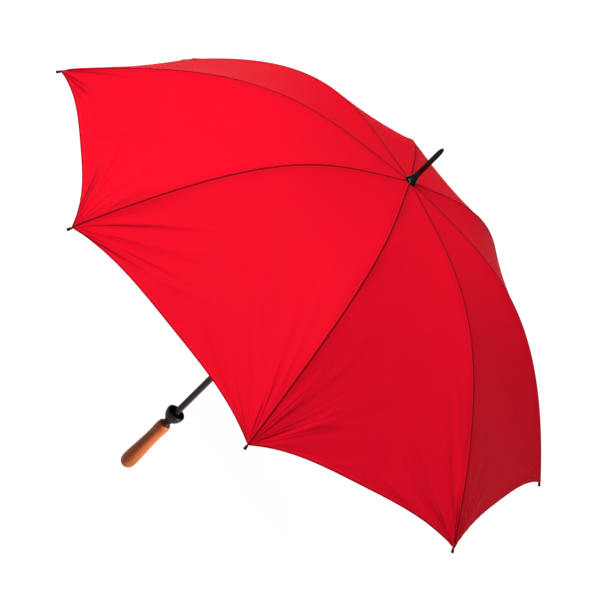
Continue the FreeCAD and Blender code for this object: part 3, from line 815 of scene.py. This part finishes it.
def canopy_cloth():
    """Red woven cloth with its seams, turned hem, stitches and creases, and shade painted beside the seams, along
    the hem's edge and in the crease valleys.
    """
    net = Finish("red_nylon")
    cloth = net.add("ShaderNodeUVMap", dict(uv_map="cloth"))
    edges = net.add("ShaderNodeUVMap", dict(uv_map="edges"))
    across = net.add("ShaderNodeSeparateXYZ", {}, cloth)
    along = across.part("Y")
    from_seam = net.add("ShaderNodeSeparateXYZ", {}, edges)
    from_hem = from_seam.part("Y")
    warp = (across * (2 * math.pi / WEAVE_PITCH)).sine()
    weft = (along * (2 * math.pi / WEAVE_PITCH)).sine()
    weave = warp * weft
    drift = net.noise(net.object_place(), 9.0, detail=4.0)
    fine = net.noise(cloth, 420.0, detail=2.0)
    body = net.between(drift, RED, WARM_RED)
    tint = net.between(fine * 0.22 + weave * 0.04, body, DEEP_RED)
    seam_line = from_seam < SEAM_WIDTH
    fold_line = (from_hem - HEM_FOLD).size() < HEM_FOLD_WIDTH
    # Painted shade: the outermost 2.4 mm of the hem is darkened towards the seam red, standing in for the shade on
    # the rolled hem's edge.
    painted_hem_shade = from_hem < HEM_SHADE_WIDTH
    # Painted shade: a soft dark band beside each seam, fading over 7 mm, stands in for the shade that the seam's
    # ridge casts.
    painted_seam_shade = from_seam.fall(7.0 * MM) * 0.40
    # The dark share mixes the real seam lines and the hem's fold line with the painted shade beside the seams and
    # along the hem's edge.
    seams_and_painted_shade = seam_line * 0.62 + painted_seam_shade + fold_line * 0.20 + painted_hem_shade * 0.80
    shaded = net.between(seams_and_painted_shade, tint, SEAM_AND_SHADE_RED)
    stitches = stitch_row(along, from_seam, SEAM_STITCHES)
    stitches = stitches + stitch_row(across, from_hem, HEM_STITCHES)
    colour = net.between(stitches * 0.8, shaded, STITCH_RED)
    crisp, reach = fan_creases(net, across, along, from_seam, CRISP_PITCH, CRISP_RUN)
    broad, reach = fan_creases(net, across, along, from_seam, BROAD_PITCH, BROAD_RUN)
    folds = crisp * reach * 0.090 + broad * reach * 0.085
    # Painted shade: the crease pattern also darkens the colour towards deep red in the crease valleys, on top of
    # the bump's real shading.
    colour = net.between((crisp + broad) * PAINTED_CREASE_SHADE, colour, DEEP_RED)
    weave_relief = (weave * 0.5 + fine * 0.6 + stitches * 4.0) * WEAVE_RELIEF
    net.bump(folds + weave_relief, 1.0, 1.0)
    return net.set(
        Base_Color=colour,
        Roughness=0.48 + fine * 0.16,
        Specular_IOR_Level=0.008,
        Specular_Tint=(1.0, 0.45, 0.60, 1.0),
    )


red_nylon = canopy_cloth()
for piece in cloth_pieces + threads:
    dress(piece, red_nylon)

# %% [markdown]
# Varnished hardwood: long fibres run up the handle, broad growth bands wander through them, and
# a thin clear coat lies over everything.

# %% Varnished wood
def varnished_wood():
    """Turned hardwood under varnish."""
    net = Finish("varnished_wood")
    wander = net.noise(net.object_place(), 26.0, detail=2.0)
    bands = net.object_place((60.0, 60.0, 4.2))
    bands = net.add("ShaderNodeVectorMath", dict(operation="ADD"), bands, wander)
    growth = net.noise(bands, 1.0, detail=5.0, roughness=0.6)
    fibres = net.noise(net.object_place((1500.0, 1500.0, 26.0)), 1.0, detail=4.0, roughness=0.65)
    honey = net.add("ShaderNodeValToRGB", dict(stops=[
        (0.22, (0.100, 0.018, 0.004)),
        (0.45, (0.205, 0.045, 0.009)),
        (0.62, (0.275, 0.068, 0.015)),
        (0.85, (0.330, 0.095, 0.022)),
    ]), growth)
    pores = (fibres < 0.42) * 0.35
    colour = net.between(pores, honey, (0.080, 0.015, 0.003))
    net.bump(fibres * 0.6 + growth * 0.4, 0.10 * MM, 0.25)
    return net.set(
        Base_Color=colour,
        Roughness=0.34 + fibres * 0.14,
        Coat_Weight=0.08,
        Coat_Roughness=0.16,
        Specular_IOR_Level=0.12,
    )


dress(handle, varnished_wood())

# %% [markdown]
# The moulded and metal pieces are black or bright. Even black needs some life: mould texture in
# the plastic, drawn lines along the painted tube, and a brushed grain on the steel.

# %% Black and bright finishes
def moulded(name, colour, rough, coat, grain):
    """Moulded plastic with a fine texture from its mould."""
    net = Finish(name)
    fine = net.noise(net.object_place(), 900.0, detail=3.0)
    broad = net.noise(net.object_place(), 45.0, detail=3.0)
    lighter = tuple(min(1.0, c * 2.2 + 0.004) for c in colour)
    net.bump(fine, grain * MM, 0.4)
    return net.set(
        Base_Color=net.between(broad * fine, colour, lighter),
        Roughness=rough + broad * 0.16,
        Coat_Weight=coat,
        Coat_Roughness=0.12,
        Specular_IOR_Level=0.10,
    )


def drawn_metal(name, colour, rough, metallic, stretch):
    """Metal or paint with fine lines drawn along the piece."""
    net = Finish(name)
    lines = net.noise(net.object_place(stretch), 1.0, detail=4.0, roughness=0.6)
    wear = net.noise(net.object_place(), 70.0, detail=4.0)
    lighter = tuple(min(1.0, c * 1.9 + 0.01) for c in colour)
    net.bump(lines, 0.02 * MM, 0.35)
    return net.set(
        Base_Color=net.between(lines * wear, colour, lighter),
        Roughness=rough + lines * 0.18,
        Metallic=metallic,
        Specular_IOR_Level=0.14,
    )


black_plastic = moulded("black_moulding", (0.004, 0.003, 0.003), 0.30, 0.01, 0.03)
spike_gloss = moulded("polished_moulding", (0.004, 0.002, 0.002), 0.20, 0.06, 0.01)
fibreglass = moulded("black_fibreglass", (0.012, 0.012, 0.014), 0.34, 0.02, 0.03)
shaft_paint = drawn_metal("black_lacquer", (0.010, 0.007, 0.006), 0.26, 0.0, (900.0, 900.0, 5.0))
frame_paint = drawn_metal("frame_lacquer", (0.016, 0.015, 0.016), 0.34, 0.0, (300.0, 300.0, 300.0))
bright_steel = drawn_metal("bright_steel", (0.60, 0.60, 0.62), 0.22, 1.0, (500.0, 500.0, 60.0))
# The pins' near-white base colour, only a little metallic, is partly the bright nickel plating and partly a
# painted highlight: it makes the ferrule pin's head show as a white dot.
pin_metal_and_painted_highlight = drawn_metal("nickel_pins", (0.92, 0.92, 0.90), 0.30, 0.2, (500.0, 500.0, 60.0))
finishes = {
    "frame_steel": frame_paint,
    "rib_fibreglass": fibreglass,
    "clip_steel": bright_steel,
    "bright_steel": bright_steel,
    "black_plastic": black_plastic,
    "ferrule_black": spike_gloss,
    "shaft_black": shaft_paint,
}
slot_of = {part["node"]: part["material_slot"] for part in frame["record"]["subparts"]}
for node, thing in frame["nodes"].items():
    if slot_of[node] in finishes:
        dress(thing, pin_metal_and_painted_highlight if node == "cross_pins" else finishes[slot_of[node]])
for piece in [cup] + caps:
    dress(piece, black_plastic)
dress(spike, spike_gloss)
print("finished nodes", len(frame["nodes"]))

# %% [markdown]
# ## Studio
# A white floor, a white sky, a large key lamp in front of the first gore, and a low lamp that
# draws the highlight down the shaft and the handle.

# %% Floor and lights
FLOOR_SIZE = 60.0
FLOOR_GAP = 0.5 * MM
WHITE = (1.0, 1.0, 1.0, 1.0)
SKY_STRENGTH = 0.32
start_fresh()
bpy.ops.mesh.primitive_plane_add(size=FLOOR_SIZE, location=(0, 0, -FLOOR_GAP))
floor = bpy.context.object
floor.name = "studio_floor"
paper = Finish("white_paper")
paper.set(
    Base_Color=(0.30, 0.30, 0.30, 1.0),
    Roughness=1.0,
    Specular_IOR_Level=0.0,
    Emission_Color=WHITE,
    Emission_Strength=0.93,
)
floor.data.materials.append(paper.material)

world = bpy.data.worlds.new("white_room")
world.use_nodes = True
sky = world.node_tree.nodes["Background"]
sky.inputs["Color"].default_value = WHITE
sky.inputs["Strength"].default_value = SKY_STRENGTH
bpy.context.scene.world = world


def lamp(name, kind, target, azimuth, elevation, distance, size, power):
    """Lamp that looks at the umbrella: a soft square, or a spot with a round source."""
    data = bpy.data.lights.new(name, kind)
    if kind == "AREA":
        data.size = size
    else:
        data.shadow_soft_size = size / 2
    data.energy = power
    thing = bpy.data.objects.new(name, data)
    bpy.context.collection.objects.link(thing)
    a, e = math.radians(azimuth), math.radians(elevation)
    way = Vector((math.cos(a) * math.cos(e), math.sin(a) * math.cos(e), math.sin(e)))
    place = Vector(target) + way * distance
    aim = way.to_track_quat("Z", "Y").to_matrix().to_4x4()
    thing.matrix_world = Matrix.Translation(place) @ aim
    return thing


lamp("key", "AREA", target=(0, 0, 0.7), azimuth=-14.0, elevation=52.0, distance=3.6,
     size=2.0, power=116.0)
low_side = lamp("low_side", "SPOT", target=(0, 0, 0.15), azimuth=106.0, elevation=2.0,
                distance=2.6, size=0.5, power=950.0)
low_side.data.spot_size = math.radians(12.0)
low_side.data.spot_blend = 0.6
print("lights set")
